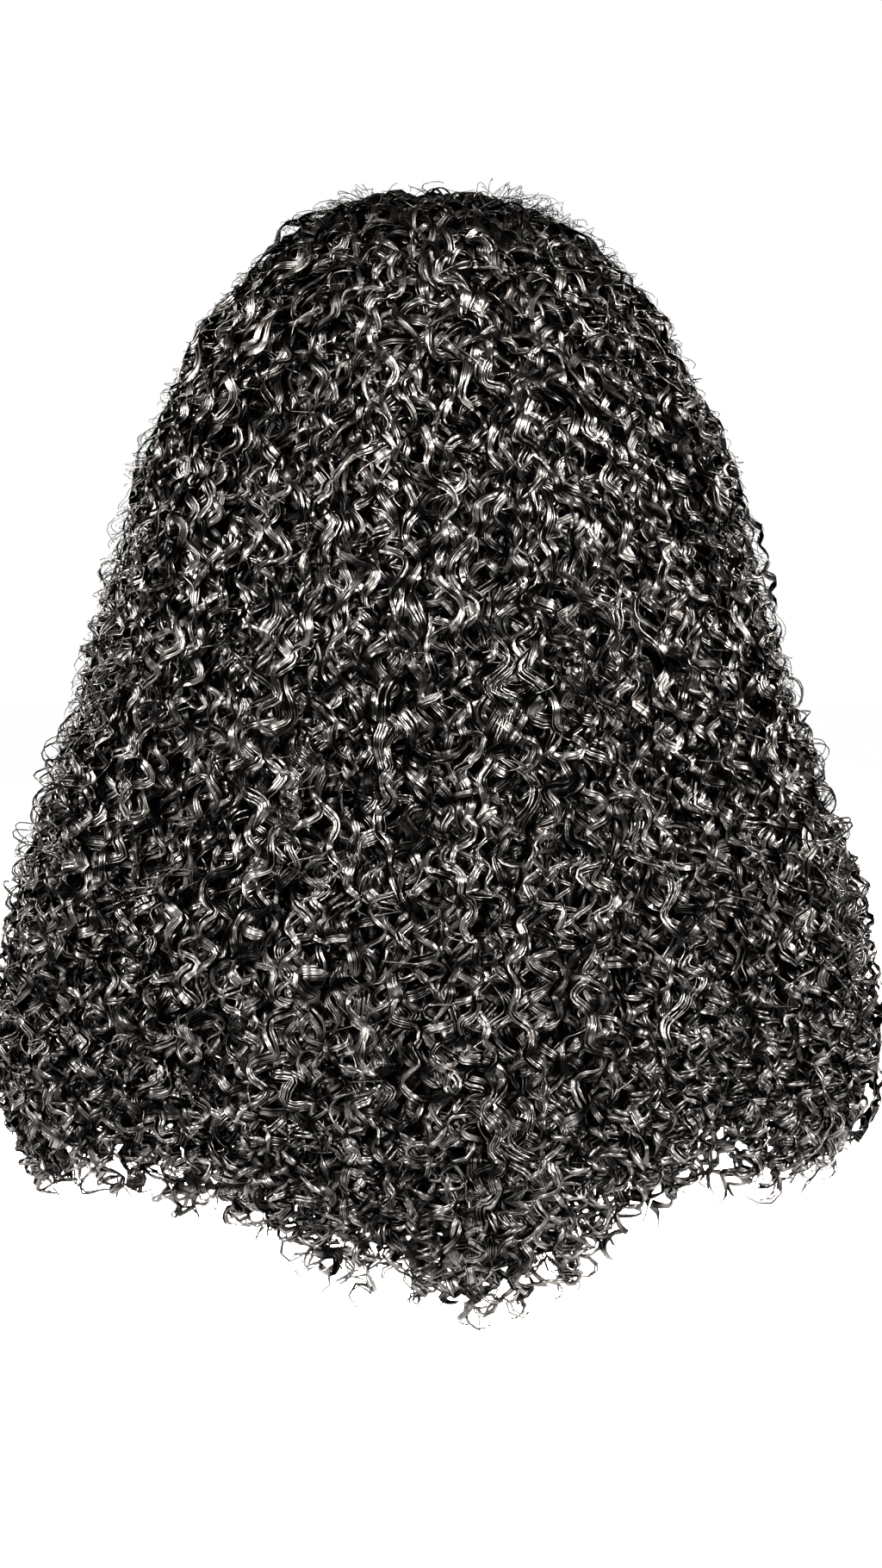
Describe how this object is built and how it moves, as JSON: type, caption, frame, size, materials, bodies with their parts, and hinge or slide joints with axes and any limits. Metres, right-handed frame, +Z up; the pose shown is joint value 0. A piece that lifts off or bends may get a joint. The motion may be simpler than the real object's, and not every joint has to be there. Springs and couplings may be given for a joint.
{
  "type": "half wig",
  "caption": "Long black kinky-curly half wig: a net cap for the back of the head with an elastic edge band, inside combs and overlapping rows of weft hair that fall as a bell.",
  "frame": {"origin": "the crown seat, where the top of the wearer's head meets the inside of the cap", "axes": "+Z up, +Y the way the wearer faces, +X to the wearer's right; the picture looks along +Y at the back of the hair"},
  "size_m": [0.4203, 0.2289, 0.5259],
  "materials": {
    "hair": "near-black curled fibre with a warm white sheen",
    "cap_net": "matt black stretch net",
    "elastic_band": "matt black woven elastic",
    "comb_plastic": "dark moulded plastic, lightly polished"
  },
  "bodies": {
    "root": {"wig_cap": "cap_net", "edge_band": "elastic_band", "comb_front": "comb_plastic", "comb_left": "comb_plastic", "comb_right": "comb_plastic", "comb_nape": "comb_plastic", "weft_nape": "hair", "weft_lower": "hair", "weft_middle": "hair", "weft_upper": "hair", "weft_crown": "hair"}
  },
  "joints": []
}
